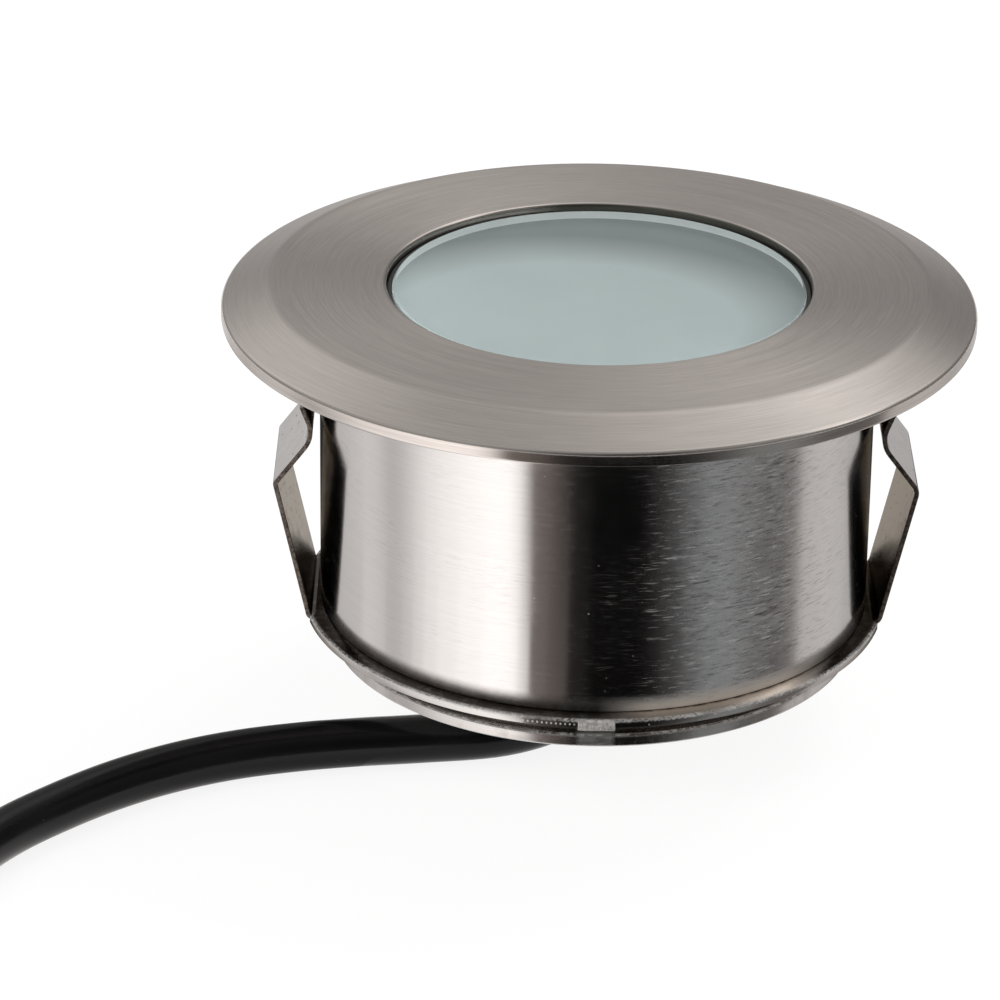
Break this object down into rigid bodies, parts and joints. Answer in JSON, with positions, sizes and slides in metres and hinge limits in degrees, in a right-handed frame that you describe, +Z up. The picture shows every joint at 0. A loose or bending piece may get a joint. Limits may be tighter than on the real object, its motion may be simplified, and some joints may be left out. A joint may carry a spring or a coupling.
{
  "type": "in-ground spotlight",
  "caption": "Small round recessed ground light: brushed steel trim ring, frosted glass, steel can, two spring clips and a black flex with plug.",
  "frame": {"origin": "centre of the surface that the lamp stands on, on the axis of its can", "axes": "+Z up along the can's axis, out through the glass; the spring clips are at +X and -X"},
  "size_m": [0.1464, 0.0945, 0.0362],
  "materials": {
    "brushed_ring": "circular brushing, satin",
    "can_steel": "bright drawn stainless with fine scratches",
    "spring_steel": "rolled spring sheet, slightly mottled",
    "fastener_steel": "zinc plated",
    "frosted_glass": "clear and polished on top, frosted underneath, greenish edge",
    "black_rubber": "moulded black rubber, soft sheen",
    "black_plastic": "black moulded plastic",
    "white_plastic": "white reflective plastic",
    "white_board": "white solder mask on an aluminium board",
    "led_phosphor": "yellow phosphor under clear silicone",
    "bare_aluminium": "machined, matt",
    "green_board": "green glass-fibre board",
    "green_plastic": "green moulded plastic",
    "can_aluminium": "bright aluminium sleeve",
    "ferrite": "dark sintered ferrite",
    "brass_plated": "turned brass",
    "brown_sleeve": "brown core insulation",
    "blue_sleeve": "blue core insulation",
    "red_sleeve": "red wire insulation"
  },
  "bodies": {
    "lamp": {"trim_ring": "brushed_ring", "neck_seal": "black_rubber", "glass_disc": "frosted_glass", "glass_gasket": "black_rubber", "housing_can": "can_steel", "base_disc": "can_steel", "spring_plate": "spring_steel", "cable_boot": "black_rubber", "gland_washer": "fastener_steel", "gland_nut": "brass_plated", "reflector_cup": "white_plastic", "led_board": "white_board", "led_chip_1": "led_phosphor", "led_chip_2": "led_phosphor", "led_chip_3": "led_phosphor", "led_chip_4": "led_phosphor", "led_chip_5": "led_phosphor", "led_chip_6": "led_phosphor", "led_screw_1": "fastener_steel", "led_screw_2": "fastener_steel", "heat_spreader": "bare_aluminium", "driver_board": "green_board", "driver_screw_1": "fastener_steel", "driver_screw_2": "fastener_steel", "driver_screw_3": "fastener_steel", "capacitor": "can_aluminium", "inductor": "ferrite", "rectifier": "black_plastic", "driver_chip": "black_plastic", "terminal_block": "green_plastic", "core_brown": "brown_sleeve", "core_blue": "blue_sleeve", "led_wire_red": "red_sleeve", "led_wire_black": "black_plastic", "cable_lead": "black_rubber", "cable_coil": "black_rubber", "coil_tie": "black_plastic", "plug_body": "black_plastic", "plug_collar": "black_plastic", "plug_pin_1": "brass_plated", "plug_pin_2": "brass_plated"},
    "leg_right": {"clip_leg_right": "spring_steel"},
    "head_right": {"clip_head_right": "spring_steel"},
    "leg_left": {"clip_leg_left": "spring_steel"},
    "head_left": {"clip_head_left": "spring_steel"}
  },
  "joints": [
    {"name": "clip_right_root", "type": "hinge", "parent": "lamp", "child": "leg_right", "pos_m": [0.02305, 0, 0.01025], "axis": [0, -1, 0], "range_deg": [0, 7], "stiffness_Nm_per_rad": 0.3},
    {"name": "clip_right_elbow", "type": "hinge", "parent": "leg_right", "child": "head_right", "pos_m": [0.0258, 0, 0.02075], "axis": [0, -1, 0], "range_deg": [-24.2, 0]},
    {"name": "clip_left_root", "type": "hinge", "parent": "lamp", "child": "leg_left", "pos_m": [-0.02305, 0, 0.01025], "axis": [0, 1, 0], "range_deg": [0, 7], "stiffness_Nm_per_rad": 0.3},
    {"name": "clip_left_elbow", "type": "hinge", "parent": "leg_left", "child": "head_left", "pos_m": [-0.0258, 0, 0.02075], "axis": [0, 1, 0], "range_deg": [-24.2, 0]}
  ],
  "couplings": [
    {"joint": "clip_right_elbow", "follows": "clip_right_root", "ratio": -3.4},
    {"joint": "clip_left_elbow", "follows": "clip_left_root", "ratio": -3.4}
  ]
}
